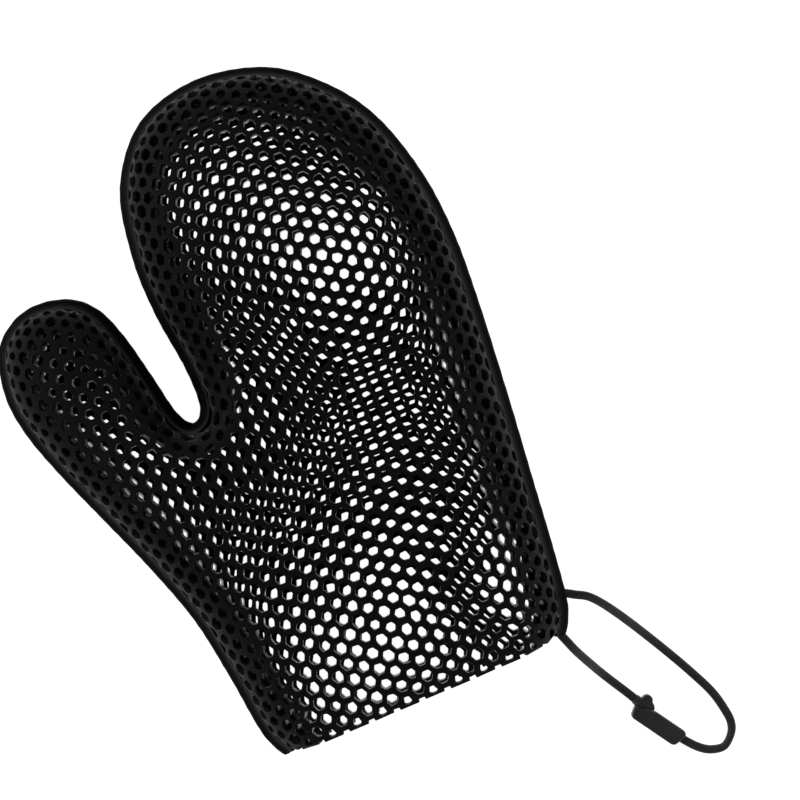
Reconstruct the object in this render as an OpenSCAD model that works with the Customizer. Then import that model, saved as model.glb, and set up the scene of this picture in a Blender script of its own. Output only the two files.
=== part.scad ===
// Honeycomb grooming mitt with a wrist cord and a plug clasp.
// The palm side lies down on z = 0, the fingers point to +Y and the thumb is on the -X side.

/* [Mitt] */
// thickness of the whole mitt over the palm
mitt_h = 40; // [36:1:46]
// thickness of one honeycomb sheet
sheet_t = 5.5; // [4.5:0.5:6.5]
// width of the fused rim
rim_w = 3.5; // [3:0.5:4.5]
// height of the fused rim
rim_h = 4.4; // [4:0.2:5.2]
// how far in from the rim a sheet reaches its full height
shoulder = 20; // [18:1:24]
// share of its height that the back sheet keeps at the cuff
cuff_keep = 0.88; // [0.8:0.02:1]

/* [Cord] */
// width of the flat braided cord
cord_w = 3.5; // [3:0.1:3.6]
// thickness of the cord
cord_t = 2.2; // [1.8:0.1:2.4]

/* [Clasp] */
// length of the clasp body
clasp_l = 22.8; // [22:0.2:25]
// width of the clasp body
clasp_w = 7.4; // [7.2:0.1:8]
// height of the clasp body
clasp_h = 5.6; // [5.2:0.1:6.4]
// height of the plug
plug_h = 4.4; // [4:0.1:4.8]
// radius of the plug's stem
stem_r = 1.5; // [1.3:0.05:1.6]
// gap round the stem in its socket
stem_gap = 0.05; // [0.03:0.01:0.1]

/* [Hidden] */
black = [0.06, 0.06, 0.06];
charcoal = [0.18, 0.18, 0.18];
rim_z = mitt_h / 2;

// The mitt's outer edge, from the thumb-side cuff corner round to the other cuff corner.
edge = [
  [-61, 0], [-66, 12], [-69, 38], [-73, 64], [-81, 90], [-90, 114], [-99, 138],
  [-105, 158], [-106.5, 175], [-102, 192], [-92, 201], [-80, 203.5], [-67, 200], [-58.5, 191.5],
  [-53.5, 178], [-49.8, 160], [-46.5, 142.5],
  [-42, 136],
  [-37.3, 141], [-36.7, 157],
  [-39.2, 182], [-38.5, 206], [-32, 233], [-14.5, 253.5], [12, 260.3],
  [40, 254], [60, 238], [73, 218], [80.5, 191], [82.5, 165],
  [81, 138], [77, 99], [72.5, 62], [69, 33], [65.5, 11], [60, 0]
];
// Where along that edge each stretch begins and ends.
thumb_base = 6;
thumb_tip = 11;
thumb_inner = 16;
lobe_inner = 18;
lobe_tip = 24;
lobe_base = 30;
cuff_right = 35;
tip_half = 0.12;

// Rows and columns of the sheets' grid.
palm_rows = 20;
thumb_rows = 10;
lobe_rows = 14;
thumb_cols = 10;
gap_cols = 4;
lobe_cols = 20;
all_cols = thumb_cols + gap_cols + lobe_cols;

// A smooth curve through a list of points; u counts the points passed.
function curve(p, u) =
  let (i = max(0, min(floor(u), len(p) - 2)), t = u - i)
  let (a = p[max(i - 1, 0)], b = p[i], c = p[i + 1], d = p[min(i + 2, len(p) - 1)])
  (2 * b + (c - a) * t + (2 * a - 5 * b + 4 * c - d) * t * t + (3 * b - a - 3 * c + d) * t * t * t) / 2;

function unit(v) = v / norm(v);
function mix(a, b, t) = a + (b - a) * t;
function edge_point(u) = curve(edge, u);
function edge_in(u) =
  let (v = unit(edge_point(min(u + 0.05, cuff_right)) - edge_point(max(u - 0.05, 0))))
  [v[1], -v[0]];
function seam_point(u) = edge_point(u) + rim_w * edge_in(u);

function steps(from, to, count) = [for (i = [0:count]) mix(from, to, i / count)];
function dense_ends(count) = [for (i = [0:count]) (1 - cos(180 * i / count)) / 2];

palm_left_u = steps(0, thumb_base, palm_rows);
palm_right_u = steps(cuff_right, lobe_base, palm_rows);
thumb_out_u = steps(thumb_base, thumb_tip - tip_half, thumb_rows);
thumb_in_u = steps(thumb_inner, thumb_tip + tip_half, thumb_rows);
gap_u = steps(thumb_inner, lobe_inner, gap_cols);
lobe_in_u = steps(lobe_inner, lobe_tip - tip_half, lobe_rows);
lobe_out_u = steps(lobe_base, lobe_tip + tip_half, lobe_rows);

function forwards(l) = [for (i = [0:len(l) - 2]) l[i]];
function backwards(l) = [for (i = [len(l) - 1:-1:1]) l[i]];
// Every stop along the edge, in order, with the cuff left open.
stops = concat(forwards(palm_left_u), thumb_out_u, backwards(thumb_in_u), forwards(gap_u),
  lobe_in_u, backwards(lobe_out_u), [lobe_base], backwards(palm_right_u), [cuff_right]);
rim_stops = [for (i = [0:len(stops) - 1]) if (i == 0 || stops[i] > stops[i - 1] + 0.001) stops[i]];
seam = [for (u = rim_stops) seam_point(u)];

outer_x = [for (u = rim_stops) edge_point(u)[0]];
outer_y = [for (u = rim_stops) edge_point(u)[1]];
middle = [(min(outer_x) + max(outer_x)) / 2, (min(outer_y) + max(outer_y)) / 2, 0];

// A smooth stand-in for the distance from a point to the seam.
function pull(p, a, b) =
  let (u = a - p, v = b - p)
  (1 / norm(u) + 1 / norm(v)) * tan(atan2(u[0] * v[1] - u[1] * v[0], u * v) / 2);
function total(l, i = 0, s = 0) = i == len(l) ? s : total(l, i + 1, s + l[i]);
function depth(p) = 2 / abs(total([for (i = [0:len(seam) - 2]) pull(p, seam[i], seam[i + 1])]));
function swell(u) = u <= 0 ? 0 : u >= 1 ? 1 : sqrt(1 - (1 - u) * (1 - u));

// The grid in three fields: palm, thumb and finger lobe.
top_row = concat(
  [for (s = dense_ends(thumb_cols)) mix(seam_point(thumb_base), seam_point(thumb_inner), s)],
  [for (i = [1:gap_cols - 1]) seam_point(gap_u[i])],
  [for (s = dense_ends(lobe_cols)) mix(seam_point(lobe_inner), seam_point(lobe_base), s)]
);
cuff_share = dense_ends(all_cols);
function top_share(j) = (top_row[j][0] - top_row[0][0]) / (top_row[all_cols][0] - top_row[0][0]);
// Rows run straight from side to side by the cuff and take up the top row's shape higher up.
top_bend = [for (j = [0:all_cols]) top_row[j] - mix(top_row[0], top_row[all_cols], top_share(j))];
function palm_point(i, j) =
  let (e = pow(i / palm_rows, 2))
  mix(seam_point(palm_left_u[i]), seam_point(palm_right_u[i]), mix(cuff_share[j], top_share(j), e))
    + e * top_bend[j];

palm_field = [for (i = [0:palm_rows], j = [0:all_cols]) palm_point(i, j)];
thumb_field = [for (i = [1:thumb_rows], s = dense_ends(thumb_cols))
  mix(seam_point(thumb_out_u[i]), seam_point(thumb_in_u[i]), s)];
lobe_field = [for (i = [1:lobe_rows], s = dense_ends(lobe_cols))
  mix(seam_point(lobe_in_u[i]), seam_point(lobe_out_u[i]), s)];
field = concat(palm_field, thumb_field, lobe_field);

row_len = all_cols + 1;
thumb_start = len(palm_field);
lobe_start = thumb_start + len(thumb_field);
function at_palm(i, j) = i * row_len + j;
function at_thumb(i, j) = i == 0 ? at_palm(palm_rows, j) : thumb_start + (i - 1) * (thumb_cols + 1) + j;
function at_lobe(i, j) = i == 0 ? at_palm(palm_rows, thumb_cols + gap_cols + j)
  : lobe_start + (i - 1) * (lobe_cols + 1) + j;

// The loop of grid points round the sheet, cuff first, anticlockwise from above.
rim_loop = concat(
  [for (j = [0:all_cols]) at_palm(0, j)],
  [for (i = [1:palm_rows]) at_palm(i, all_cols)],
  [for (i = [1:lobe_rows]) at_lobe(i, lobe_cols)],
  [for (j = [lobe_cols - 1:-1:0]) at_lobe(lobe_rows, j)],
  [for (i = [lobe_rows - 1:-1:0]) at_lobe(i, 0)],
  [for (j = [gap_cols - 1:-1:0]) at_palm(palm_rows, thumb_cols + j)],
  [for (i = [1:thumb_rows]) at_thumb(i, thumb_cols)],
  [for (j = [thumb_cols - 1:-1:0]) at_thumb(thumb_rows, j)],
  [for (i = [thumb_rows - 1:-1:0]) at_thumb(i, 0)],
  [for (i = [palm_rows - 1:-1:1]) at_palm(i, 0)]
);
// The same loop without the points inside the cuff edge.
seam_set = concat([rim_loop[0]], [for (k = [all_cols:len(rim_loop) - 1]) rim_loop[k]]);

quads = concat(
  [for (i = [0:palm_rows - 1], j = [0:all_cols - 1])
    [at_palm(i, j), at_palm(i, j + 1), at_palm(i + 1, j + 1), at_palm(i + 1, j)]],
  [for (i = [0:thumb_rows - 1], j = [0:thumb_cols - 1])
    [at_thumb(i, j), at_thumb(i, j + 1), at_thumb(i + 1, j + 1), at_thumb(i + 1, j)]],
  [for (i = [0:lobe_rows - 1], j = [0:lobe_cols - 1])
    [at_lobe(i, j), at_lobe(i, j + 1), at_lobe(i + 1, j + 1), at_lobe(i + 1, j)]]
);

field_depth = [for (k = [0:len(field) - 1])
  len(search(k, seam_set)) > 0 ? 0 : depth(field[k])];

// One domed sheet, from the rim's mid plane up; keep is its share of height at the cuff.
module sheet(keep) {
  count = len(field);
  function ease(p) = mix(keep, 1, swell(p[1] / 70));
  outer = [for (k = [0:count - 1])
    [field[k][0], field[k][1],
      rim_h / 2 + (rim_z - rim_h / 2) * swell(field_depth[k] / shoulder) * ease(field[k])]];
  inner = [for (k = [0:count - 1])
    [field[k][0], field[k][1],
      (rim_z - sheet_t) * swell((field_depth[k] - sheet_t) / (shoulder - sheet_t)) * ease(field[k])]];
  tops = [for (q = quads) each [[q[0], q[2], q[1]], [q[0], q[3], q[2]]]];
  floors = [for (q = quads) each [[q[0] + count, q[1] + count, q[2] + count],
    [q[0] + count, q[2] + count, q[3] + count]]];
  walls = [for (k = [0:len(rim_loop) - 1])
    let (a = rim_loop[k], b = rim_loop[(k + 1) % len(rim_loop)])
    each [[a, b, b + count], [a, b + count, a + count]]];
  polyhedron(points = concat(outer, inner), faces = concat(tops, floors, walls), convexity = 6);
}

// A closed solid swept through rings of points that all have the same count.
module swept(rings) {
  n = len(rings[0]);
  last = len(rings) - 1;
  sides = [for (i = [0:last - 1], j = [0:n - 1])
    let (k = (j + 1) % n)
    each [[i * n + j, (i + 1) * n + j, i * n + k], [i * n + k, (i + 1) * n + j, (i + 1) * n + k]]];
  first_cap = [[for (j = [0:n - 1]) j]];
  last_cap = [[for (j = [n - 1:-1:0]) last * n + j]];
  polyhedron(points = [for (r = rings) each r], faces = concat(first_cap, sides, last_cap), convexity = 6);
}

// The cord: a flattened round section along a smooth route.
cord_sides = 8;
function cord_ring(p, v) =
  let (side = unit([-v[1], v[0], 0]), up = cross(v, side))
  [for (k = [0:cord_sides - 1])
    p + side * cord_w / 2 * sin(360 * k / cord_sides) + up * cord_t / 2 * cos(360 * k / cord_sides)];
module cord(route, rings) {
  last = len(route) - 1;
  swept([for (i = [0:rings])
    let (u = last * i / rings)
    let (v = unit(curve(route, min(u + 0.05, last)) - curve(route, max(u - 0.05, 0))))
    cord_ring(curve(route, u), v)]);
}

// The clasp's own frame: x runs along its body from the plug end, y is the knob's side.
clasp_at = [79.9, -49.1, 0];
clasp_turn = -57.6;
clasp_z = clasp_h / 2;
corner_r = 1.7;
clasp_flare = 0.5;
bore_y = 0.6;
seat_at = [-8, 1.8];
seat_turn = 21;
seat_gap = 0.3;
seat_half = 4.6;
grip_l = 1.4;
stem_l = 3.7;
socket_l = 4;
bead_r = 1.85;
bore_l = 9;
bead_l = 2.4;
pin_fn = 48;
spare = 1;

function turned(p, a) = [p[0] * cos(a) - p[1] * sin(a), p[0] * sin(a) + p[1] * cos(a)];
function from_clasp(p) =
  let (q = turned(p, clasp_turn))
  [clasp_at[0] + q[0], clasp_at[1] + q[1], clasp_z];
function from_plug(p) = from_clasp(seat_at + turned(p, seat_turn));

// The plug's outline above its seat, x across and y out of the socket.
shoulder_half = 4.1;
neck_half = 2.6;
neck_y = 3.5;
knob_r = 2.2;
knob_at = [0.6, 3.8];
entry_share = 0.7;
entry = [
  -shoulder_half + (shoulder_half - neck_half) * entry_share,
  seat_gap + (neck_y - seat_gap) * entry_share
];
flank_out = unit([-(neck_y - seat_gap), shoulder_half - neck_half]);

// The cord's points where it leaves the mitt, just outside the rim; the loop swings on the line
// through them.
upper_exit = [69.5, 13.5, rim_z];
lower_exit = [59.5, -3, rim_z];
exit_gap = 1.4;

// The way round inside the cuff corner, from the upper exit to the lower one.
inner_route = [
  upper_exit + [-0.85, 0.52, 0] * exit_gap, [64.5, 16.2, rim_z], [60.5, 15.5, rim_z],
  [57.5, 12, rim_z], [56.5, 7.5, rim_z], [57.5, 2.5, rim_z], lower_exit + [-0.31, 0.95, 0] * exit_gap
];
// From the upper exit down to the table, round the loop's end and back to the clasp.
long_route = [
  upper_exit, [74, 10.7, rim_z - 0.3], [78.2, 5.7, rim_z - 2], [83.4, -2.6, 13], [89, -12.7, 6.5],
  [94.8, -23.7, 2.6], [100.4, -35, 1.5], [105.3, -46.4, 1.4], [107.3, -56, 1.5], [107.3, -61, 1.6],
  [105.3, -65, 1.7], [101, -68.2, 1.9], [95.6, -67.3, 2.1], [91.2, -64.2, 2.4],
  from_clasp([clasp_l / 2 + 0.5, bore_y]), from_clasp([clasp_l / 2 - bore_l + bead_l, bore_y])
];
// From the lower exit down to the plug.
short_route = [
  lower_exit, [60.9, -7, rim_z - 1.5], [63.6, -13.2, 13.5], [67.7, -21.9, 6],
  from_plug(entry + flank_out * 6), from_plug(entry + flank_out * 3),
  from_plug(entry + flank_out * 0.1)
];

module back_panel() {
  color(black) translate([0, 0, rim_z]) sheet(cuff_keep);
}

module palm_panel() {
  color(black) translate([0, 0, rim_z]) mirror([0, 0, 1]) sheet(1);
}

// A half-round bead whose flat side stands against the two sheets.
module edge_weld() {
  color(black)
    swept([for (u = rim_stops)
      let (n = edge_in(u), s = seam_point(u))
      [for (a = [-90:30:90])
        [s[0] - n[0] * rim_w * cos(a), s[1] - n[1] * rim_w * cos(a), rim_z + rim_h / 2 * sin(a)]]]);
}

module cord_inner_run() {
  color(charcoal) cord(inner_route, 14);
}

module cord_long_run() {
  color(charcoal) cord(long_route, 39);
}

module cord_short_run() {
  color(charcoal) cord(short_route, 18);
}

// A rounded bar whose far side, at +y, reaches a little further out at both ends.
module flared_bar() {
  far = clasp_l / 2 + clasp_flare - corner_r;
  near = clasp_l / 2 - clasp_flare - corner_r;
  side = clasp_w / 2 - corner_r;
  linear_extrude(clasp_h, center = true)
    offset(corner_r, $fn = pin_fn)
      polygon([[-near, -side], [near, -side], [far, side], [-far, side]]);
}

module in_clasp() {
  translate([clasp_at[0], clasp_at[1], clasp_z]) rotate(clasp_turn) children();
}

module in_plug() {
  in_clasp() translate(seat_at) rotate(seat_turn) children();
}

module clasp_body() {
  color(charcoal)
    difference() {
      in_clasp() flared_bar();
      // the slanted seat under the plug
      in_plug()
        translate([seat_half - clasp_l, 0, -clasp_h])
          cube([clasp_l, clasp_w, 2 * clasp_h]);
      // the plug's socket
      in_plug()
        translate([0, -socket_l, 0]) rotate([-90, 0, 0])
          cylinder(r = stem_r + stem_gap, h = socket_l + spare, $fn = pin_fn);
      // the bore that holds the cord's end
      in_clasp()
        translate([clasp_l / 2 - bore_l, bore_y, 0]) rotate([0, 90, 0])
          cylinder(r = bead_r, h = bore_l + spare, $fn = pin_fn);
    }
}

module clasp_plug() {
  color(charcoal)
    in_plug() {
      linear_extrude(plug_h, center = true) {
        polygon([[-shoulder_half, seat_gap], [shoulder_half, seat_gap],
          [neck_half, neck_y], [-neck_half, neck_y]]);
        translate(knob_at) circle(knob_r, $fn = pin_fn);
      }
      translate([0, seat_gap - stem_l, 0]) rotate([-90, 0, 0])
        cylinder(r = stem_r, h = stem_l + spare, $fn = pin_fn);
    }
}

// The bead melted on the long run's end, at the bottom of the bore.
module cord_end_bead() {
  color(charcoal)
    in_clasp()
      translate([clasp_l / 2 - bore_l, bore_y, 0]) rotate([0, 90, 0])
        cylinder(r = bead_r, h = bead_l, $fn = pin_fn);
}

// The short run's last stretch, gripped inside the plug.
module cord_plug_end() {
  color(charcoal)
    cord([from_plug(entry), from_plug(entry - flank_out * grip_l)], 1);
}

translate(-middle) {
  back_panel();
  palm_panel();
  edge_weld();
  cord_inner_run();
  cord_long_run();
  cord_short_run();
  clasp_body();
  clasp_plug();
  cord_end_bead();
  cord_plug_end();
}
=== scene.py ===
import math

import bmesh
import bpy
import numpy as np
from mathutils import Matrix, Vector


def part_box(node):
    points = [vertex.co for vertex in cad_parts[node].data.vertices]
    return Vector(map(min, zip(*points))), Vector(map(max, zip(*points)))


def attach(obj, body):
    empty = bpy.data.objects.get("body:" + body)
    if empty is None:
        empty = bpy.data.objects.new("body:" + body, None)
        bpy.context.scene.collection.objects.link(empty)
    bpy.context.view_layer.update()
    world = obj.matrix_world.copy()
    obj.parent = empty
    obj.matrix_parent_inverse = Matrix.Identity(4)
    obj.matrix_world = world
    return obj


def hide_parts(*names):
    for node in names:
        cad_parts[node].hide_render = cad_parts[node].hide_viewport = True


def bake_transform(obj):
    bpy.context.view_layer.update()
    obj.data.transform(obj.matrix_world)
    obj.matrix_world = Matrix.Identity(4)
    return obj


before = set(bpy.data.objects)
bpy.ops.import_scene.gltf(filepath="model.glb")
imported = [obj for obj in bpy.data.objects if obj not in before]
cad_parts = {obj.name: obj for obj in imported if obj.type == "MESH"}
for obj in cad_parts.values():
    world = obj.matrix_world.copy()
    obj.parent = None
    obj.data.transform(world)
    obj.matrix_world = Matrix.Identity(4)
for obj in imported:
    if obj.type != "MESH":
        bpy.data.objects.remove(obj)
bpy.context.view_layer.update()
mm = 0.001
scene = bpy.context.scene
print("frame loaded")


# small helpers

def curveAt(points, u):
    # a smooth curve through the points; u counts from one point to the next
    p, u = np.asarray(points, float), np.asarray(u, float)
    i = np.clip(np.floor(u).astype(int), 0, len(p) - 2)
    t = (u - i)[..., None]
    a, b, c, d = p[np.maximum(i - 1, 0)], p[i], p[i + 1], p[np.minimum(i + 2, len(p) - 1)]
    return (2 * b + (c - a) * t + (2 * a - 5 * b + 4 * c - d) * t ** 2
            + (3 * b - a - 3 * c + d) * t ** 3) / 2


def unitRows(v):
    return v / np.maximum(np.linalg.norm(v, axis=-1, keepdims=True), 1e-12)


def swell(u):
    # rises like a quarter circle, from 0 to 1
    u = np.clip(u, 0, 1)
    return np.sqrt(1 - (1 - u) ** 2)


def tubeFaces(rings, sides):
    # quads from each ring to the next, and a flat end on the first and the last
    faces = [(i * sides + j, i * sides + (j + 1) % sides, (i + 1) * sides + (j + 1) % sides,
              (i + 1) * sides + j) for i in range(rings - 1) for j in range(sides)]
    faces.append(tuple(range(sides - 1, -1, -1)))
    faces.append(tuple((rings - 1) * sides + j for j in range(sides)))
    return faces


def newMesh(name, points, faces, material, sharp=40):
    mesh = bpy.data.meshes.new(name)
    mesh.from_pydata([tuple(p) for p in points], [], faces)
    mesh.validate()
    mesh.polygons.foreach_set("use_smooth", [True] * len(mesh.polygons))
    mesh.set_sharp_from_angle(angle=math.radians(sharp))
    obj = bpy.data.objects.new(name, mesh)
    scene.collection.objects.link(obj)
    mesh.materials.append(material)
    return obj


# the mitt's edge, millimetres from the middle of the cuff

mittEdge = {
    "points": [
        (-61, 0), (-66, 12), (-69, 38), (-73, 64), (-81, 90), (-90, 114), (-99, 138),
        (-105, 158), (-106.5, 175), (-102, 192), (-92, 201), (-80, 203.5), (-67, 200),
        (-58.5, 191.5), (-53.5, 178), (-49.8, 160), (-46.5, 142.5), (-42, 136), (-37.3, 141),
        (-36.7, 157), (-39.2, 182), (-38.5, 206), (-32, 233), (-14.5, 253.5), (12, 260.3),
        (40, 254), (60, 238), (73, 218), (80.5, 191), (82.5, 165), (81, 138), (77, 99),
        (72.5, 62), (69, 33), (65.5, 11), (60, 0),
    ],
    "rimWidth": 3.5,
    "rimHeight": 4.4,
    "height": 40.0,
    "sheet": 5.5,
    "shoulder": 20.0,     # how far in from the seam a sheet reaches its full height
    "backKeep": 0.88,     # share of height the back sheet keeps at the cuff
    "stops": 10,          # samples between two points of the edge
}

edgeStops = np.linspace(0, len(mittEdge["points"]) - 1,
                        (len(mittEdge["points"]) - 1) * mittEdge["stops"] + 1)
edgeLine = curveAt(mittEdge["points"], edgeStops)
edgeRun = unitRows(curveAt(mittEdge["points"], np.minimum(edgeStops + 0.05, edgeStops[-1]))
                   - curveAt(mittEdge["points"], np.maximum(edgeStops - 0.05, 0)))
edgeIn = np.stack([edgeRun[:, 1], -edgeRun[:, 0]], axis=1)
seamLine = edgeLine + mittEdge["rimWidth"] * edgeIn
rimZ = mittEdge["height"] / 2
rise = rimZ - mittEdge["rimHeight"] / 2

weldLow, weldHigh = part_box("edge_weld")
drawnMiddle = (edgeLine.min(axis=0) + edgeLine.max(axis=0)) / 2
rowShift = np.array([(weldLow[0] + weldHigh[0]) / 2 / mm - drawnMiddle[0],
                     (weldLow[1] + weldHigh[1]) / 2 / mm - drawnMiddle[1], 0.0])


def inRow(points):
    # from millimetres off the cuff's middle to metres in the part's frame
    return (np.asarray(points, float) + rowShift) * mm


# camera: straight down, the mitt leaning to the left

cameraSet = {"over": (36.5, 111.7), "height": 1000.0, "view": 316.7, "lean": 23.4, "sensor": 36}

cameraData = bpy.data.cameras.new("camera")
cameraData.sensor_width = cameraSet["sensor"]
cameraData.lens = cameraSet["sensor"] * (cameraSet["height"] - rimZ) / cameraSet["view"]
camera = bpy.data.objects.new("camera", cameraData)
scene.collection.objects.link(camera)
camera.location = inRow([(*cameraSet["over"], cameraSet["height"])])[0]
camera.rotation_euler = (0, 0, -math.radians(cameraSet["lean"]))
scene.camera = camera
print("camera set")


# materials

def nodeOf(tree, kind, **values):
    node = tree.nodes.new(kind)
    for key, value in values.items():
        if hasattr(node, key):
            setattr(node, key, value)
        else:
            node.inputs[key].default_value = value
    return node


def startMaterial(name, roughness, specular=0.5):
    material = bpy.data.materials.new(name)
    material.use_nodes = True
    tree = material.node_tree
    shader = tree.nodes["Principled BSDF"]
    shader.inputs["Roughness"].default_value = roughness
    shader.inputs["Specular IOR Level"].default_value = specular
    return material, tree, shader


def mottled(tree, shader, source, scale, dark, light, low, high):
    # a soft cloudy change of colour and of roughness
    noise = nodeOf(tree, "ShaderNodeTexNoise", Scale=scale, Detail=5.0, Roughness=0.6)
    ramp = nodeOf(tree, "ShaderNodeValToRGB")
    ramp.color_ramp.elements[0].position, ramp.color_ramp.elements[1].position = 0.32, 0.7
    ramp.color_ramp.elements[0].color = (*dark, 1)
    ramp.color_ramp.elements[1].color = (*light, 1)
    spread = nodeOf(tree, "ShaderNodeMapRange")
    spread.inputs["To Min"].default_value = low
    spread.inputs["To Max"].default_value = high
    tree.links.new(source, noise.inputs["Vector"])
    tree.links.new(noise.outputs["Fac"], ramp.inputs["Fac"])
    tree.links.new(noise.outputs["Fac"], spread.inputs["Value"])
    tree.links.new(spread.outputs["Result"], shader.inputs["Roughness"])
    return ramp


def paintedEdgeHighlight(tree, colour, amount, low=0.5, high=0.56):
    # a painted highlight: lighter where an edge stands proud
    geometry = nodeOf(tree, "ShaderNodeNewGeometry")
    edge = nodeOf(tree, "ShaderNodeMapRange")
    edge.inputs["From Min"].default_value, edge.inputs["From Max"].default_value = low, high
    edge.inputs["To Min"].default_value, edge.inputs["To Max"].default_value = 0.0, amount
    mix = nodeOf(tree, "ShaderNodeMix", data_type="RGBA", blend_type="ADD")
    tree.links.new(geometry.outputs["Pointiness"], edge.inputs["Value"])
    tree.links.new(edge.outputs["Result"], mix.inputs[0])
    tree.links.new(colour, mix.inputs[6])
    # the grey of the painted edge highlight
    mix.inputs[7].default_value = (0.06, 0.06, 0.06, 1)
    return mix.outputs[2]


def grainBump(tree, shader, source, scale, strength, distance):
    grain = nodeOf(tree, "ShaderNodeTexNoise", Scale=scale, Detail=3.0)
    bump = nodeOf(tree, "ShaderNodeBump", Strength=strength, Distance=distance)
    tree.links.new(source, grain.inputs["Vector"])
    tree.links.new(grain.outputs["Fac"], bump.inputs["Height"])
    tree.links.new(bump.outputs["Normal"], shader.inputs["Normal"])


def elastomer(name, roughness, specular, dark, light, grain):
    material, tree, shader = startMaterial(name, roughness, specular)
    place = nodeOf(tree, "ShaderNodeTexCoord").outputs["Object"]
    ramp = mottled(tree, shader, place, 90.0, dark, light, roughness - 0.07, roughness + 0.08)
    # proud edges get a painted highlight
    tree.links.new(paintedEdgeHighlight(tree, ramp.outputs["Color"], 0.25), shader.inputs["Base Color"])
    grainBump(tree, shader, place, grain, 0.25, 0.00015)
    return material


def plastic(name):
    material, tree, shader = startMaterial(name, 0.5)
    place = nodeOf(tree, "ShaderNodeTexCoord").outputs["Object"]
    ramp = mottled(tree, shader, place, 260.0, (0.066, 0.066, 0.066), (0.086, 0.086, 0.087),
                   0.45, 0.6)
    # proud edges get a painted highlight
    tree.links.new(paintedEdgeHighlight(tree, ramp.outputs["Color"], 0.5), shader.inputs["Base Color"])
    grainBump(tree, shader, place, 2600.0, 0.35, 0.0001)
    return material


def braid(name):
    # the map's first axis counts picks along the cord, the second counts strands round it
    material, tree, shader = startMaterial(name, 0.82, 0.3)
    shader.inputs["Sheen Weight"].default_value = 0.25
    shader.inputs["Sheen Roughness"].default_value = 0.5
    place = nodeOf(tree, "ShaderNodeTexCoord")
    wave = nodeOf(tree, "ShaderNodeTexWave", wave_type="BANDS", bands_direction="DIAGONAL")
    wave.inputs["Scale"].default_value = 1.0
    wave.inputs["Distortion"].default_value = 0.6
    # darker in the braid's grooves and lighter on its picks, following the same bands as the bump:
    # painted shade and painted highlight
    ramp = nodeOf(tree, "ShaderNodeValToRGB")
    ramp.color_ramp.elements[0].color = (0.045, 0.045, 0.045, 1)
    ramp.color_ramp.elements[1].color = (0.1, 0.1, 0.1, 1)
    cloud = nodeOf(tree, "ShaderNodeTexNoise", Scale=700.0, Detail=4.0)
    blend = nodeOf(tree, "ShaderNodeMix", data_type="RGBA", blend_type="OVERLAY")
    blend.inputs[0].default_value = 0.35
    tree.links.new(place.outputs["UV"], wave.inputs["Vector"])
    tree.links.new(wave.outputs["Fac"], ramp.inputs["Fac"])
    tree.links.new(place.outputs["Object"], cloud.inputs["Vector"])
    tree.links.new(ramp.outputs["Color"], blend.inputs[6])
    tree.links.new(cloud.outputs["Fac"], blend.inputs[7])
    tree.links.new(blend.outputs[2], shader.inputs["Base Color"])
    bump = nodeOf(tree, "ShaderNodeBump", Strength=0.5, Distance=0.00012)
    tree.links.new(wave.outputs["Fac"], bump.inputs["Height"])
    tree.links.new(bump.outputs["Normal"], shader.inputs["Normal"])
    return material


# roughness, shine, darkest and lightest colour, fineness of the grain
blacks = {
    "backBlack": (0.55, 0.1, (0.004, 0.004, 0.0041), (0.007, 0.007, 0.0072), 1800.0),
    # the palm's copy of the one black is lighter than the back's: painted light from below
    "palmBlack": (0.45, 0.2, (0.006, 0.006, 0.0061), (0.012, 0.012, 0.0122), 1800.0),
    # the rim's copy is darker than the back's: painted shade
    "rimBlack": (0.6, 0.07, (0.003, 0.003, 0.0031), (0.006, 0.006, 0.0062), 900.0),
    # the cells' walls come smooth out of the mould, so they shine more than the faces; their colour,
    # lighter than the back's, is painted light from below
    "wallBlack": (0.27, 0.7, (0.006, 0.006, 0.0061), (0.013, 0.013, 0.0132), 700.0),
}
backBlack, palmBlack, rimBlack, wallBlack = [elastomer(name, *look) for name, look in blacks.items()]
cordCharcoal = braid("cordCharcoal")
claspCharcoal = plastic("claspCharcoal")
print("materials made")


# the clasp's own frame

claspFrame = {"at": (79.9, -49.1), "turn": -57.6, "length": 22.8, "width": 7.4, "height": 5.6,
              "flare": 0.5, "boreMouth": (11.9, 0.6), "boreEnd": (4.8, 0.6), "seat": (-8.0, 1.8),
              "seatTurn": 21.0}


def turned(p, degrees):
    p, a = np.asarray(p, float), math.radians(degrees)
    return np.stack([p[..., 0] * math.cos(a) - p[..., 1] * math.sin(a),
                     p[..., 0] * math.sin(a) + p[..., 1] * math.cos(a)], axis=-1)


def fromClasp(p, z=claspFrame["height"] / 2):
    flat = turned(p, claspFrame["turn"]) + np.array(claspFrame["at"])
    return np.concatenate([flat, np.full(flat.shape[:-1] + (1,), z)], axis=-1)


def fromPlug(p, z=claspFrame["height"] / 2):
    return fromClasp(turned(p, claspFrame["seatTurn"]) + np.array(claspFrame["seat"]), z)


# the cord: a flat braid, its routes the same as the solid ones

cordSet = {
    "width": 3.5, "thickness": 2.2, "sides": 36, "step": 0.25, "pick": 1.7, "strands": 8,
    "relief": 0.07, "square": 0.86, "pathPoints": 32,
    # where the flat cord turns part of the way on edge: degrees, place along it, reach
    "rolls": [(50, 104, 9), (22, 17, 8)],
    "swingInside": 4.0, "swingOutside": 5.0,   # the stretch that bends at the upper exit
}
cordEntry = np.array([-3.05, 2.54])   # where the short run goes into the plug
entryOut = np.array([-3.2, 1.5]) / math.hypot(3.2, 1.5)
upperExit = (69.5, 13.5, rimZ)
lowerExit = (59.5, -3.0, rimZ)

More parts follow.
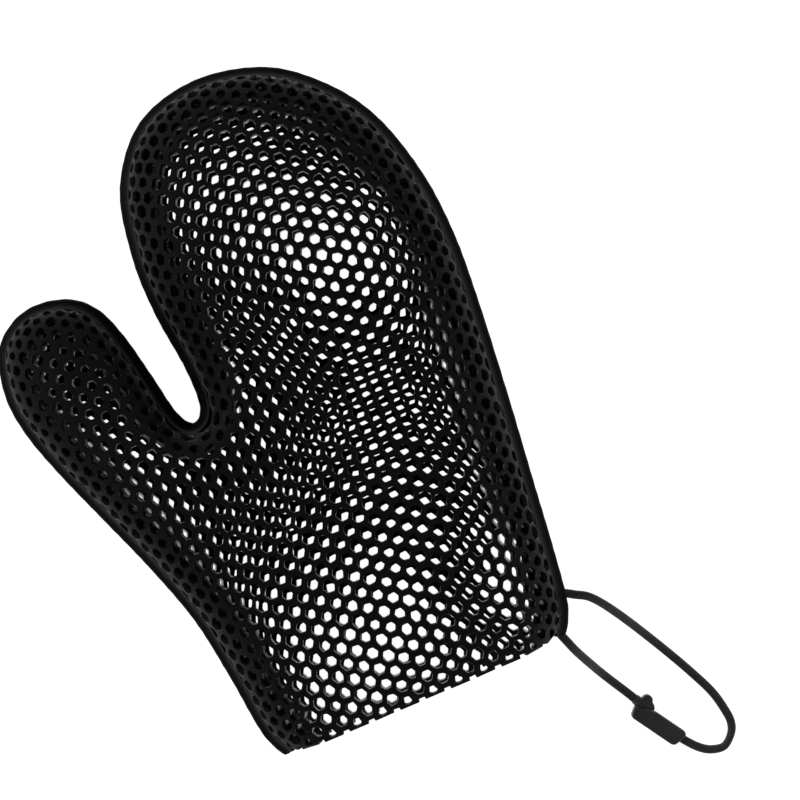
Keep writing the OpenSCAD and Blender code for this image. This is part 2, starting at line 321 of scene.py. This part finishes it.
longRoute = [
    (63.0, 17.0, rimZ), (66.2, 15.5, rimZ),
    upperExit, (74, 10.7, rimZ - 0.3), (78.2, 5.7, rimZ - 2), (83.4, -2.6, 13), (89, -12.7, 6.5),
    (94.8, -23.7, 2.6), (100.4, -35, 1.5), (105.3, -46.4, 1.4), (107.3, -56, 1.6), (107.3, -61, 1.8),
    (105.3, -65, 1.9), (101, -68.2, 2.0), (95.6, -67.3, 2.1), (91.2, -64.2, 2.4),
    tuple(fromClasp(claspFrame["boreMouth"])), tuple(fromClasp(claspFrame["boreEnd"])),
]
shortRoute = [
    lowerExit, (60.9, -7, rimZ - 1.5), (63.6, -13.2, 13.5), (67.7, -21.9, 6),
    tuple(fromPlug(cordEntry + entryOut * 6)), tuple(fromPlug(cordEntry + entryOut * 3)),
    tuple(fromPlug(cordEntry - entryOut * 0.5)),
]
innerRoute = [
    (66.2, 15.5, rimZ), (64.0, 16.6, rimZ), (60.5, 15.5, rimZ), (57.5, 12, rimZ),
    (56.5, 7.5, rimZ), (57.6, 2.5, rimZ), *shortRoute[:4],
]


def evenLine(route, step, first, last):
    # points at equal steps along the smooth route, between two places on it
    fine = curveAt(route, np.linspace(first, last, int((last - first) * 60) + 1))
    along = np.concatenate([[0], np.cumsum(np.linalg.norm(np.diff(fine, axis=0), axis=1))])
    stops = np.linspace(0, along[-1], max(2, int(round(along[-1] / step)) + 1))
    return np.stack([np.interp(stops, along, fine[:, k]) for k in range(3)], axis=1), stops


def braidedCord(name, route, rolls=(), first=0.0, last=None):
    line, stops = evenLine(route, cordSet["step"], first, len(route) - 1 if last is None else last)
    run = unitRows(np.gradient(line, axis=0))
    side = unitRows(np.stack([-run[:, 1], run[:, 0], np.zeros(len(run))], axis=1))
    up = np.cross(run, side)
    tilt = np.zeros(len(line))
    for degrees, at, reach in rolls:
        tilt += degrees * np.exp(-((stops - at) / reach) ** 2)
    tilt = np.radians(tilt)
    wide = side * np.cos(tilt)[:, None] + up * np.sin(tilt)[:, None]
    tall = up * np.cos(tilt)[:, None] - side * np.sin(tilt)[:, None]
    n = cordSet["sides"]
    angle = np.arange(n) / n * 2 * np.pi
    # picks of the braid stand proud where the two sets of strands cross
    phase = stops[:, None] / cordSet["pick"] * 2 * np.pi
    relief = cordSet["relief"] * (np.cos(cordSet["strands"] * angle[None] + phase)
                                  * np.cos(cordSet["strands"] * angle[None] - phase) - 0.4)
    # a little squarer than an ellipse
    cw, ct = np.sin(angle), np.cos(angle)
    reachW = cordSet["width"] / 2 * np.sign(cw) * np.abs(cw) ** cordSet["square"]
    reachT = cordSet["thickness"] / 2 * np.sign(ct) * np.abs(ct) ** cordSet["square"]
    points = (line[:, None] + wide[:, None] * (reachW[None] + relief * cw[None])[..., None]
              + tall[:, None] * (reachT[None] + relief * ct[None])[..., None])
    count = len(line)
    obj = newMesh(name, inRow(points.reshape(-1, 3)), tubeFaces(count, n), cordCharcoal, 60)
    uv = obj.data.uv_layers.new(name="braidMap")
    loops = np.zeros(len(obj.data.loops), int)
    obj.data.loops.foreach_get("vertex_index", loops)
    ring, spot = loops // n, loops % n
    uv.data.foreach_set("uv", np.stack([stops[ring] / cordSet["pick"] * 2,
                                        spot / n * cordSet["strands"]], axis=1).ravel())
    spots = np.linspace(0, count - 1, cordSet["pathPoints"]).astype(int)
    return obj, inRow(line[spots]), float(stops[-1]) * mm


# the inner run goes on past the lower exit, and the short run takes over there with a hair's overlap
cordLong, longPath, longLength = braidedCord("cordLong", longRoute, rolls=cordSet["rolls"])
cordShort, shortPath, shortLength = braidedCord("cordShort", shortRoute, first=1.5)
cordInner, _, innerLength = braidedCord("cordInner", innerRoute, last=7.51)
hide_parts("cord_long_run")
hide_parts("cord_short_run")
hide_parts("cord_inner_run")
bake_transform(cordLong)
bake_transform(cordInner)
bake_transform(cordShort)
print("cords made:", round(longLength, 4), round(shortLength, 4), round(innerLength, 4))


# the clasp and its plug, lofted from their outlines

def loftFrom(name, outline, levels, place, material, sharp=38):
    # outline runs anticlockwise; each level is (height, how far the outline is pulled in)
    p = np.asarray(outline, float)
    run = unitRows(np.roll(p, -1, axis=0) - np.roll(p, 1, axis=0))
    inward = np.stack([-run[:, 1], run[:, 0]], axis=1)
    points = np.concatenate([place(p + inward * pull, z) for z, pull in levels])
    return newMesh(name, inRow(points), tubeFaces(len(levels), len(p)), material, sharp)


def arcPoints(centre, radius, start, stop, count):
    a = np.radians(np.linspace(start, stop, count))
    return [(centre[0] + radius * math.cos(t), centre[1] + radius * math.sin(t)) for t in a]


def splitLong(outline, longest=0.8):
    # more points on the straight stretches, so that the insets stay even
    out = []
    for a, b in zip(outline, outline[1:] + outline[:1]):
        steps = max(1, int(math.dist(a, b) / longest))
        out += [(a[0] + (b[0] - a[0]) * i / steps, a[1] + (b[1] - a[1]) * i / steps)
                for i in range(steps)]
    return out


def edgeLevels(bottom, top, rounding, line):
    # a rounded lower and upper edge, with the mould's parting line between them
    turns = np.radians([0, 18, 38, 60, 90])
    low = [(bottom + rounding * (1 - math.cos(t)), rounding * (1 - math.sin(t))) for t in turns]
    high = [(top + bottom - z, pull) for z, pull in reversed(low)]
    half, deep = claspSet["partingHalf"], claspSet["partingDeep"]
    return low + [(line - half, 0), (line, deep), (line + half, 0)] + high


claspSet = {"corner": 1.7, "softCorner": 2.3, "rounding": 0.6, "partingHalf": 0.11,
            "partingDeep": 0.09}
middleZ = claspFrame["height"] / 2
near = claspFrame["length"] / 2 - claspFrame["flare"] - claspSet["corner"]
far = claspFrame["length"] / 2 + claspFrame["flare"] - claspSet["corner"]
across = claspFrame["width"] / 2 - claspSet["corner"]
soften = claspSet["softCorner"] - claspSet["corner"]
claspOutline = splitLong(
    arcPoints((-near, -across), claspSet["corner"], 194, 270, 8)
    + arcPoints((near - soften, -across + soften), claspSet["softCorner"], 270, 346, 8)
    + arcPoints((far, across), claspSet["corner"], -14, 90, 9)
    + [(-3.1, 3.7), (-3.45, 3.66), (-3.75, 3.44), (-4.4, 3.18), (-11.0, 0.65), (-11.33, 0.46),
       (-11.5, 0.2)])
claspBody = loftFrom("claspBody", claspOutline,
                     edgeLevels(0, claspFrame["height"], claspSet["rounding"], middleZ),
                     fromClasp, claspCharcoal)

plugSet = {"knob": 2.2, "knobAt": (0.6, 3.8), "height": 4.4, "rounding": 0.5, "seatGap": 0.3,
           "stem": 1.5, "stemLength": 3.7, "stemTop": 0.9, "socket": 1.55, "socketTop": 1.5,
           "socketEnd": -4.0}
plugOutline = splitLong(
    [(-3.8, plugSet["seatGap"]), (3.8, plugSet["seatGap"]), (4.08, 0.4), (4.22, 0.7), (4.2, 1.4),
     (3.95, 2.1), (3.5, 2.8), (3.05, 3.28), (2.84, 3.5)]
    + arcPoints(plugSet["knobAt"], plugSet["knob"], 4, 160, 17)
    + [(-1.75, 4.25), (-2.15, 4.05), (-2.45, 3.75), (-3.0, 2.7), (-3.85, 0.95), (-4.0, 0.55)])
plugLow = (claspFrame["height"] - plugSet["height"]) / 2
claspPlug = loftFrom("claspPlug", plugOutline,
                     edgeLevels(plugLow, plugLow + plugSet["height"], plugSet["rounding"], middleZ),
                     fromPlug, claspCharcoal)


def collarRound(name, centre, out, rings, sides=40):
    # a short flared sleeve on the plug, round the flat cord
    base = np.asarray(fromPlug(centre))
    run = np.asarray(fromPlug(np.asarray(centre) + out)) - base
    side = np.array([-run[1], run[0], 0])
    t = np.arange(sides) / sides * 2 * np.pi
    points = np.concatenate([base + run * away + np.cos(t)[:, None] * side * w
                             + np.sin(t)[:, None] * np.array([0, 0, h]) for away, w, h in rings])
    return newMesh(name, inRow(points), tubeFaces(len(rings), sides), claspCharcoal)


# each ring of the collar: how far out, half width, half height
collarRings = [(-1.0, 2.0, 1.9), (0.5, 2.1, 1.85), (1.2, 2.05, 1.6), (1.55, 1.9, 1.35),
               (1.7, 1.7, 1.1)]
plugCollar = collarRound("plugCollar", cordEntry, entryOut, collarRings)


def barMesh(name, start, stop, radius, sides=40, nose=0.35):
    # a round bar with a chamfered nose at its far end
    a, b = np.asarray(start, float), np.asarray(stop, float)
    run = (b - a) / np.linalg.norm(b - a)
    level = np.cross(run, (0, 0, 1.0))
    t = np.arange(sides) / sides * 2 * np.pi
    ring = np.cos(t)[:, None] * level + np.sin(t)[:, None] * np.array([0, 0, 1.0])
    rings = [(a, radius), (b - run * nose, radius), (b, radius - nose)]
    points = np.concatenate([c + ring * r for c, r in rings])
    faces = [f[::-1] for f in tubeFaces(len(rings), sides)]
    return newMesh(name, inRow(points), faces, claspCharcoal)


def cutAway(obj, cutter):
    cut = obj.modifiers.new("cut", "BOOLEAN")
    cut.operation, cut.object, cut.solver = "DIFFERENCE", cutter, "EXACT"
    bpy.context.view_layer.objects.active = obj
    with bpy.context.temp_override(object=obj, active_object=obj):
        bpy.ops.object.modifier_apply(modifier=cut.name)
    bpy.data.objects.remove(cutter, do_unlink=True)


cutAway(claspBody, barMesh("socketCut", fromPlug((0, plugSet["socketTop"])),
                           fromPlug((0, plugSet["socketEnd"])), plugSet["socket"], nose=0.05))
claspStem = barMesh("claspStem", fromPlug((0, plugSet["stemTop"])),
                    fromPlug((0, plugSet["seatGap"] - plugSet["stemLength"])), plugSet["stem"])
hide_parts("clasp_body")
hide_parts("clasp_plug")
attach(claspBody, "loop")
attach(claspPlug, "plug")
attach(claspStem, "plug")
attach(plugCollar, "plug")
for name, material in (("cord_end_bead", claspCharcoal), ("cord_plug_end", cordCharcoal)):
    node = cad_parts[name]
    node.data.materials.clear()
    node.data.materials.append(material)
print("clasp made")


# the surface that both sheets follow

faceSet = {
    "heldBelow": 14, "heldAt": 1.3,   # by the cuff the depth is held to this times the true one
    "uprightBelow": 15,               # the cuff's open edge stays upright
    "easeOver": 70,                   # the back sheet gains its full height over this length
    "probe": 0.06, "leastShare": 0.006,
    "span": 26, "narrowing": 114, "leastArc": 1.6,   # how a flat sheet is taken up over the shoulder
}
fieldSeam = seamLine[::2]


def depthOf(p):
    # a smooth stand-in for the distance from the seam
    total = np.zeros(len(p))
    for a, b in zip(fieldSeam[:-1], fieldSeam[1:]):
        u, v = a - p, b - p
        ru, rv = np.hypot(u[:, 0], u[:, 1]) + 1e-6, np.hypot(v[:, 0], v[:, 1]) + 1e-6
        turn = np.arctan2(u[:, 0] * v[:, 1] - u[:, 1] * v[:, 0], (u * v).sum(axis=1))
        total += (1 / ru + 1 / rv) * np.tan(turn / 2)
    return 2 / np.maximum(np.abs(total), 1e-6)


def reachOf(p):
    # by the open cuff the smooth distance runs high, so there it is held near the true one
    d = depthOf(p)
    low = p[:, 1] < faceSet["heldBelow"]
    if low.any():
        share = 1 - np.clip(p[low, 1], 0, faceSet["heldBelow"]) / faceSet["heldBelow"]
        share = share ** 2 * (3 - 2 * share)
        true = np.maximum(nearestSeam(p[low])[0], 0.05) * faceSet["heldAt"]
        d[low] += (np.minimum(d[low], true) - d[low]) * share
    return d


def outerFace(p, keep, bend=0.0):
    # height over the rim's mid plane and the way the face looks
    d = reachOf(p)
    h = faceSet["probe"]
    slopeX = (reachOf(p + (h, 0)) - reachOf(p - (h, 0))) / (2 * h)
    slopeY = (reachOf(p + (0, h)) - reachOf(p - (0, h))) / (2 * h)
    slopeY = slopeY * np.clip(p[:, 1] / faceSet["uprightBelow"], 0, 1)
    u = np.clip(d / mittEdge["shoulder"], faceSet["leastShare"], 1)
    ease = keep + (1 - keep) * swell(p[:, 1] / faceSet["easeOver"])
    steep = rise * (1 - u) / swell(u) / mittEdge["shoulder"] * ease
    face = np.stack([-steep * slopeX, -steep * slopeY, np.ones(len(p))], axis=1)
    soft = swell(d / mittEdge["shoulder"])
    z = mittEdge["rimHeight"] / 2 + rise * soft * ease
    # a slow, low ripple, as no soft sheet lies quite even
    ripple = np.sin(p[:, 0] / 23 + 0.7) * np.cos(p[:, 1] / 31 - 0.4)
    ripple = ripple + 0.6 * np.sin(p[:, 1] / 17 + p[:, 0] / 40)
    return np.column_stack([p, z + bend * ripple * soft]), unitRows(face)


# how much of a sheet goes over the shoulder between the seam and the flat
shoulderSpan = np.linspace(0, faceSet["span"], 521)
shoulderReach = shoulderSpan * (1 - shoulderSpan / faceSet["narrowing"])
shoulderRise = rise * swell(shoulderReach / mittEdge["shoulder"])
shoulderSteps = np.hypot(np.diff(shoulderSpan), np.diff(shoulderRise))
shoulderArc = np.concatenate([[0], np.cumsum(shoulderSteps)])
slack = shoulderArc[-1] - shoulderSpan[-1]


def nearestSeam(q):
    # signed distance inside the seam, and the seam's inward direction there
    best = np.full(len(q), 1e9)
    gap = np.zeros(len(q))
    inward = np.zeros((len(q), 2))
    for k, (a, b) in enumerate(zip(seamLine[:-1], seamLine[1:])):
        run = b - a
        share = np.clip(((q - a) @ run) / (run @ run), 0, 1)
        off = q - (a + share[:, None] * run)
        dist = np.hypot(off[:, 0], off[:, 1])
        closer = dist < best
        n = edgeIn[k] + (edgeIn[k + 1] - edgeIn[k]) * share[:, None]
        best = np.where(closer, dist, best)
        gap = np.where(closer, (off * n).sum(axis=1), gap)
        inward[closer] = n[closer]
    return gap, unitRows(inward)


def laidDown(q):
    # where a point of the flat sheet comes to lie once the sheet is bent down to the seam
    gap, inward = nearestSeam(q)
    arc = gap + slack
    bent = np.interp(np.clip(arc, faceSet["leastArc"], None), shoulderArc, shoulderSpan)
    d = np.where(gap < shoulderSpan[-1], bent, gap)
    return q + inward * (d - gap)[:, None], arc


# the two honeycomb sheets

backSheet = {
    "across": 5.35, "along": 6.8, "wall": 2.05, "centre": (-7.05, 22.2), "stretch": (1.0, 1.0),
    "cutBelow": 1.2, "hem": 0.95, "cuffPush": 0.8, "keep": mittEdge["backKeep"], "bend": 0.6,
    "uneven": 0.46, "seed": 11, "slips": [(-60, 150, 45, 0.4, -0.5), (20, 200, 60, 0.5, 0.4)],
    "tight": [(-80, 165, 50, 0.12), (-15, 170, 60, 0.06)],   # where the walls are thicker
}
palmSheet = {
    "across": 5.35, "along": 6.8, "wall": 2.05, "centre": (-8.5, 19.2), "stretch": (1.0, 0.985),
    "cutBelow": 1.2, "hem": 0.0, "cuffPush": 0.0, "keep": 1.0, "bend": 0.0, "uneven": 0.46, "seed": 23,
    # places where the sheet was fused a little askew: x, y, reach, shift x, shift y
    "slips": [(52, 26, 26, -3.3, -3.0), (0, -8, 17, 0, 2.2), (-8, 148, 66, 3.3, 1.4),
              (-86, 166, 36, 1.3, -0.5), (-10, 235, 40, 1.0, 1.5), (60, 120, 45, -1.2, 0.8)],
    "tight": [(-80, 165, 50, 0.2), (-15, 170, 60, 0.1)],
}
cuffTeeth = {"halfWidth": 3.95, "rootHalf": 4.2, "notch": 1.2, "least": 1.0, "narrow": 0.66,
             "pushReach": 14.0, "ragged": 0.12}
cellSet = {
    "slant": 0.96, "corner": 0.17, "pull": 0.52,       # how soft a hole's corners are
    "lipSpread": 0.08, "lipDepth": 0.02, "wallDepth": 0.28,
    "nearSeam": 3.4,                                   # no cell's middle is closer to the seam
    "widest": 11.0,                                    # a cell stretched past this is left out
}


def honeycomb(name, setUp, side, material):
    rng = np.random.default_rng(setUp["seed"])
    stepX, stepY = setUp["across"], setUp["along"]
    middle, stretch = np.array(setUp["centre"]), np.array(setUp["stretch"])
    hexagon = np.array([(2 * stepX / 3, 0), (stepX / 3, stepY / 2), (-stepX / 3, stepY / 2),
                        (-2 * stepX / 3, 0), (-stepX / 3, -stepY / 2), (stepX / 3, -stepY / 2)])
    hole = hexagon * (1 - setUp["wall"] / (stepY * cellSet["slant"]))

    def drawn(p):
        # the sheet's own stretch, and the slow drift of its cells
        out = middle + p * stretch
        spot = out.copy()
        for x, y, reach, shiftX, shiftY in setUp["slips"]:
            near = np.exp(-((spot[..., 0] - x) ** 2 + (spot[..., 1] - y) ** 2) / reach ** 2)
            out = out + near[..., None] * np.array([shiftX, shiftY])
        out[..., 1] += setUp["cuffPush"] * np.exp(-(spot[..., 1] / cuffTeeth["pushReach"]) ** 2)
        return out

    spots = [(i, j) for i in range(-22, 22) for j in range(-8, 42)]
    flat = np.array([(i * stepX, (j + (i % 2) / 2) * stepY) for i, j in spots])
    centres = drawn(flat)
    arc = laidDown(centres)[1]
    # the cuff is cut along the lowest row of cells, which stands in every second column
    lowest = [min(c[1] for c, (i, j) in zip(centres, spots)
                  if i % 2 == odd and c[1] > setUp["cutBelow"]) for odd in (0, 1)]
    toothOdd = 0 if lowest[0] < lowest[1] else 1
    toothLevel = round((lowest[toothOdd] - middle[1]) / stretch[1] / stepY * 2)
    keepers = [k for k in range(len(spots)) if arc[k] > cellSet["nearSeam"]
               and centres[k][1] > setUp["cutBelow"]
               and round(flat[k][1] / stepY * 2) >= toothLevel]

    corners, cornerFlat, cuffFix, cellCorners = {}, [], {}, []
    for k in keepers:
        mine = []
        for c in range(6):
            spot = flat[k] + hexagon[c]
            key = (round(spot[0] / stepX * 3), round(spot[1] / stepY * 2))
            if key not in corners:
                corners[key] = len(cornerFlat)
                if key[1] <= toothLevel:
                    # the cuff's cut edge: wide teeth with small notches between them
                    column = (2 * round((spot[0] / stepX - toothOdd) / 2) + toothOdd) * stepX
                    low = key[1] < toothLevel
                    reach = cuffTeeth["halfWidth" if low else "rootHalf"] / stretch[0]
                    spot = np.array([column + math.copysign(reach, spot[0] - column), spot[1]])
                    cuffFix[corners[key]] = setUp["hem"] + (0 if low else cuffTeeth["notch"])
                cornerFlat.append(spot)
            mine.append(corners[key])
        cellCorners.append(mine)
    cornerAt = drawn(np.array(cornerFlat))
    for k, y in cuffFix.items():
        cornerAt[k, 1] = y + rng.uniform(-cuffTeeth["ragged"], cuffTeeth["ragged"])

    # each hole has six soft corners, no two holes quite the same
    holeAt = []
    for k in keepers:
        tight = sum(share * math.exp(-((centres[k] - (x, y)) ** 2).sum() / reach ** 2)
                    for x, y, reach, share in setUp["tight"])
        shape = hole * (1 - tight + setUp["uneven"] * rng.uniform(-0.3, 0.2))
        shape = shape + rng.uniform(-0.6, 0.6, (6, 2)) * setUp["uneven"]
        ring = []
        for c in range(6):
            before, here, after = shape[c - 1], shape[c], shape[(c + 1) % 6]
            first = here + (before - here) * cellSet["corner"]
            last = here + (after - here) * cellSet["corner"]
            ring += [first, (first + last) * (1 - cellSet["pull"]) / 2 + here * cellSet["pull"], last]
        ring = drawn(flat[k] + np.array(ring))
        over = centres[k][1] - setUp["hem"] - cuffTeeth["least"]
        room = over / max(centres[k][1] - ring[:, 1].min(), 0.1)
        if room < 1:
            # the row along the cuff keeps a solid band below its small holes
            under = ring[:, 1] < centres[k][1]
            ring[under, 1] = centres[k][1] + (ring[under, 1] - centres[k][1]) * room
            ring[:, 0] = centres[k][0] + (ring[:, 0] - centres[k][0]) * cuffTeeth["narrow"]
        holeAt.append(ring)
    holeAt = np.array(holeAt)
    perRing = holeAt.shape[1]

    cornerPlan = laidDown(cornerAt)[0]
    holePlan = laidDown(holeAt.reshape(-1, 2))[0]
    cornerTop, cornerWay = outerFace(cornerPlan, setUp["keep"], setUp["bend"])
    holeTop, holeWay = outerFace(holePlan, setUp["keep"], setUp["bend"])
    holeTop, holeWay = holeTop.reshape(-1, perRing, 3), holeWay.reshape(-1, perRing, 3)

    # four rings down each hole, a lip at both faces and the straight wall between
    t = mittEdge["sheet"]
    away = (holeTop - holeTop.mean(axis=1, keepdims=True)) * cellSet["lipSpread"]
    lipTop = holeTop + away - holeWay * cellSet["lipDepth"]
    wallTop = holeTop - holeWay * cellSet["wallDepth"]
    wallLow = holeTop - holeWay * (t - cellSet["wallDepth"])
    lipLow = holeTop + away - holeWay * (t - cellSet["lipDepth"])

    points = [cornerTop, cornerTop - cornerWay * t]
    nc = len(cornerTop)
    faces, inWall, used, ringStart = [], [], {}, 2 * nc
    for k, mine in enumerate(cellCorners):
        # a cell that would be stretched across the slot beside the thumb is left out
        if np.ptp(cornerPlan[mine], axis=0).max() > cellSet["widest"]:
            continue
        r = [ringStart + perRing * m for m in range(4)]
        ringStart += 4 * perRing
        points += [lipTop[k], wallTop[k], wallLow[k], lipLow[k]]
        for c in range(6):
            here, nextOne, m, after = mine[c], mine[(c + 1) % 6], 3 * c, 3 * ((c + 1) % 6)
            faces += [(here, r[0] + m + 1, r[0] + m), (here, r[0] + m + 2, r[0] + m + 1),
                      (here, nextOne, r[0] + after, r[0] + m + 2),
                      (nc + here, r[3] + m, r[3] + m + 1), (nc + here, r[3] + m + 1, r[3] + m + 2),
                      (nc + nextOne, nc + here, r[3] + m + 2, r[3] + after)]
            edgeKey = (min(here, nextOne), max(here, nextOne))
            used[edgeKey] = None if edgeKey in used else (here, nextOne)
        for level in range(3):
            for m in range(perRing):
                n = (m + 1) % perRing
                inWall.append(len(faces))
                faces.append((r[level] + m, r[level] + n, r[level + 1] + n, r[level + 1] + m))
    faces += [(e[1], e[0], nc + e[0], nc + e[1]) for e in used.values() if e]

    points = np.concatenate(points)
    points[:, 2] = rimZ + side * points[:, 2]
    if side < 0:
        faces = [f[::-1] for f in faces]
    obj = newMesh(name, inRow(points), faces, material, 50)
    obj.data.materials.append(wallBlack)
    kind = np.zeros(len(obj.data.polygons), int)
    kind[inWall] = 1
    obj.data.polygons.foreach_set("material_index", kind)
    # corners that belong only to left-out cells
    spare = bmesh.new()
    spare.from_mesh(obj.data)
    bmesh.ops.delete(spare, geom=[v for v in spare.verts if not v.link_faces], context="VERTS")
    spare.to_mesh(obj.data)
    spare.free()
    print(name, "cells", len(cellCorners), "faces", len(obj.data.polygons))
    return obj


honeycombBack = honeycomb("honeycombBack", backSheet, 1, backBlack)
honeycombPalm = honeycomb("honeycombPalm", palmSheet, -1, palmBlack)
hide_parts("back_panel")
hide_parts("palm_panel")
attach(honeycombBack, "mitt")
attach(honeycombPalm, "mitt")


# the fused rim: a smooth bead with a melted band over both sheets' edges

rimSet = {"band": (1.9, 2.6, 3.4, 4.2, 4.9), "proud": 0.1, "deep": 1.3, "tuck": -0.15,
          "tuckDeep": 0.5, "wave": 0.3, "wavyFrom": 3, "endRound": 1.6, "crush": 0.14, "cell": 6.4,
          "fillet": 4, "filletBend": 0.75, "blunt": 0.75}


def fusedRim():
    count = len(seamLine)
    along = np.concatenate([[0], np.cumsum(np.linalg.norm(np.diff(seamLine, axis=0), axis=1))])
    wave = 1 + rimSet["wave"] * 0.5 * (np.sin(along / 2.9) + np.sin(along / 4.7 + 1.3)) / 2
    loops = []
    for side in (1, -1):
        keep = mittEdge["backKeep"] if side > 0 else 1.0
        out, inner = [], []
        for arc in rimSet["band"]:
            reach = np.full(count, arc) if arc < rimSet["wavyFrom"] else arc * wave
            d = np.interp(reach, shoulderArc, shoulderSpan)
            top, way = outerFace(seamLine + edgeIn * d[:, None], keep)
            last = arc == rimSet["band"][-1]
            # the band's last line tucks in under the sheet's face
            out.append(top + way * rimSet["tuck" if last else "proud"])
            inner.append(top - way * rimSet["tuckDeep" if last else "deep"])
        loops.append((out, inner))
    # the bead swells a little at every crushed cell wall and rounds off at the cuff
    ends = np.clip(np.minimum(along, along[-1] - along) / rimSet["endRound"], 0, 1)
    full = 0.5 + 0.5 * swell(ends) - rimSet["crush"] / mittEdge["rimWidth"] * (
        0.5 + 0.5 * np.sin(along / rimSet["cell"] * 2 * np.pi))
    bead = []
    for angle in np.radians(np.arange(-60, 61, 12)):
        bulge = (full * np.cos(angle) ** rimSet["blunt"])[:, None]
        p = np.column_stack([seamLine - edgeIn * mittEdge["rimWidth"] * bulge,
                             mittEdge["rimHeight"] / 2 * np.sin(angle) * (0.7 + 0.3 * full)])
        bead.append(p)

    def levelled(p, side):
        q = p.copy()
        q[:, 2] = rimZ + side * p[:, 2]
        return q

    def fillet(start, out, before):
        # the hollow between the bead and a sheet's shoulder, filled with a soft curve
        run = start - before
        reach = (out[:, 2] - start[:, 2])[:, None] * rimSet["filletBend"]
        bend = start + run / np.linalg.norm(run, axis=1, keepdims=True) * reach
        shares = np.linspace(0, 1, rimSet["fillet"] + 2)[1:-1]
        return [start * (1 - t) ** 2 + bend * 2 * t * (1 - t) + out * t ** 2 for t in shares]

    (backOut, backIn), (palmOut, palmIn) = loops
    flipped = bead[0] * (1, 1, -1), bead[1] * (1, 1, -1)
    section = [levelled(p, -1) for p in reversed(palmOut)]
    section += [levelled(p, -1) for p in reversed(fillet(flipped[0], palmOut[0], flipped[1]))]
    section += [levelled(p, 1) for p in bead]
    section += [levelled(p, 1) for p in fillet(bead[-1], backOut[0], bead[-2])]
    section += [levelled(p, 1) for p in backOut]
    section += [levelled(p, 1) for p in reversed(backIn)]
    section += [levelled(p, -1) for p in palmIn]
    n = len(section)
    points = np.stack(section, axis=1).reshape(-1, 3)
    faces = [(i * n + j, (i + 1) * n + j, (i + 1) * n + (j + 1) % n, i * n + (j + 1) % n)
             for i in range(count - 1) for j in range(n)]
    faces.append(tuple(range(n)))
    faces.append(tuple((count - 1) * n + j for j in range(n - 1, -1, -1)))
    return newMesh("fusedRim", inRow(points), faces, rimBlack, 60)


rim = fusedRim()
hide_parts("edge_weld")
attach(rim, "mitt")
print("rim made")


# floor and light

floorSet = {"half": 3, "level": -0.0004, "white": 0.9, "glow": 1.0}
skySet = {"low": 0.95, "high": 0.06, "fadeFrom": 0.04, "fadeTo": 0.16}
# where each light stands, what it points at, its size in metres and its power in watts
lights = {
    "keyLight": ((-1.2, 1.0, 0.9), (0, 0.02, 0), 0.8, 7),
    "fillLight": ((1.3, -0.9, 0.8), (0, 0, 0), 1.0, 4.5),
}

floorMaterial = bpy.data.materials.new("paleFloor")
floorMaterial.use_nodes = True
floorShader = floorMaterial.node_tree.nodes["Principled BSDF"]
floorShader.inputs["Base Color"].default_value = (*[floorSet["white"]] * 3, 1)
floorShader.inputs["Roughness"].default_value = 0.9
floorShader.inputs["Emission Color"].default_value = (1, 1, 1, 1)
floorShader.inputs["Emission Strength"].default_value = floorSet["glow"]
floorCorners = [(x * floorSet["half"], y * floorSet["half"], floorSet["level"])
                for x, y in ((-1, -1), (1, -1), (1, 1), (-1, 1))]
floor = newMesh("floor", floorCorners, [(0, 1, 2, 3)], floorMaterial)

# a studio tent: white just over the floor, dim overhead, so that the top faces stay black
world = bpy.data.worlds.new("studio")
world.use_nodes = True
sky = world.node_tree
direction = sky.nodes.new("ShaderNodeTexCoord")
split = sky.nodes.new("ShaderNodeSeparateXYZ")
fade = nodeOf(sky, "ShaderNodeMapRange")
for socket, value in (("From Min", "fadeFrom"), ("From Max", "fadeTo"), ("To Min", "low"),
                      ("To Max", "high")):
    fade.inputs[socket].default_value = skySet[value]
sky.links.new(direction.outputs["Generated"], split.inputs["Vector"])
sky.links.new(split.outputs["Z"], fade.inputs["Value"])
sky.links.new(fade.outputs["Result"], sky.nodes["Background"].inputs["Strength"])
sky.nodes["Background"].inputs["Color"].default_value = (1, 1, 1, 1)
scene.world = world


def softLight(name, place, target, size, power):
    data = bpy.data.lights.new(name, "AREA")
    data.shape, data.size, data.energy = "SQUARE", size, power
    light = bpy.data.objects.new(name, data)
    scene.collection.objects.link(light)
    light.location = place
    light.rotation_euler = (Vector(target) - Vector(place)).to_track_quat("-Z", "Y").to_euler()


for name, setting in lights.items():
    softLight(name, *setting)
scene.view_settings.view_transform = "Standard"
print("floor and light set")
